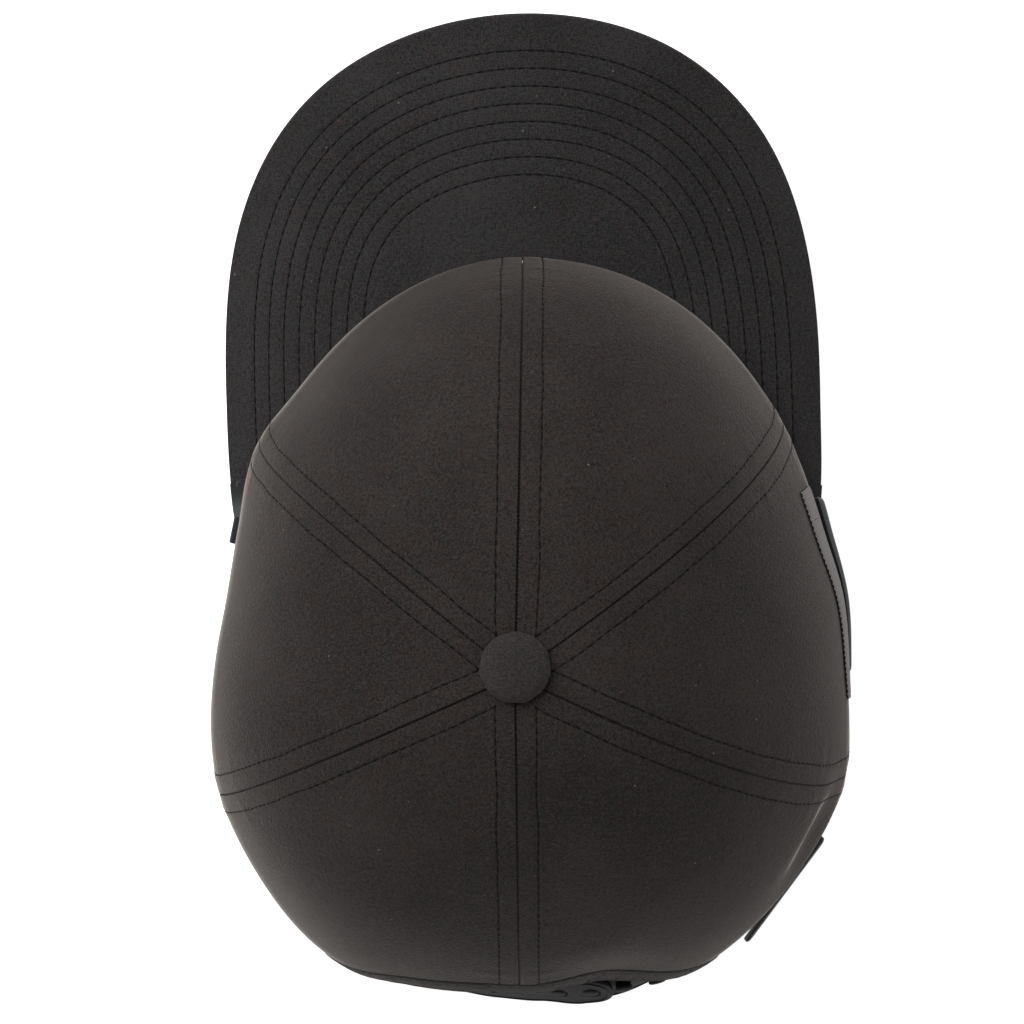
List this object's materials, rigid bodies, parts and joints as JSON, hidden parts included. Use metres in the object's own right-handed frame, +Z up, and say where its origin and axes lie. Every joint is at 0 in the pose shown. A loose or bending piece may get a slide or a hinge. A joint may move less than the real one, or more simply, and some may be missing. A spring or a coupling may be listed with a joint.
{
  "type": "snapback cap",
  "caption": "Panelled fabric cap with an arched, row-stitched brim, a covered top button, an inner sweatband and a fastened plastic snap strap across the back opening.",
  "frame": {"origin": "bottom centre of the cap's bounding box, on the surface it rests on", "axes": "+Z up, +Y from the brim's front edge to the back of the crown, +X to the wearer's left"},
  "size_m": [0.1798, 0.2772, 0.1235],
  "materials": {
    "crown_cloth": "woven cotton twill, matt",
    "brim_cloth": "woven cotton twill over a stiff board, matt",
    "welt_tape": "smooth seam tape",
    "sweatband_cloth": "soft woven band, matt",
    "strap_plastic": "moulded, satin",
    "patch_satin": "satin ribbon",
    "tab_board": "stiff pressed cloth"
  },
  "bodies": {
    "root": {"panel_front_left": "crown_cloth", "panel_side_left": "crown_cloth", "panel_rear_left": "crown_cloth", "panel_rear_right": "crown_cloth", "panel_side_right": "crown_cloth", "panel_front_right": "crown_cloth", "top_button": "crown_cloth", "opening_binding": "crown_cloth", "brim": "brim_cloth", "welt_right": "welt_tape", "welt_left": "welt_tape", "sweatband": "sweatband_cloth", "snap_strap_outer": "strap_plastic", "snap_strap_inner": "strap_plastic", "side_patch": "patch_satin", "rear_tab": "tab_board"}
  },
  "joints": []
}
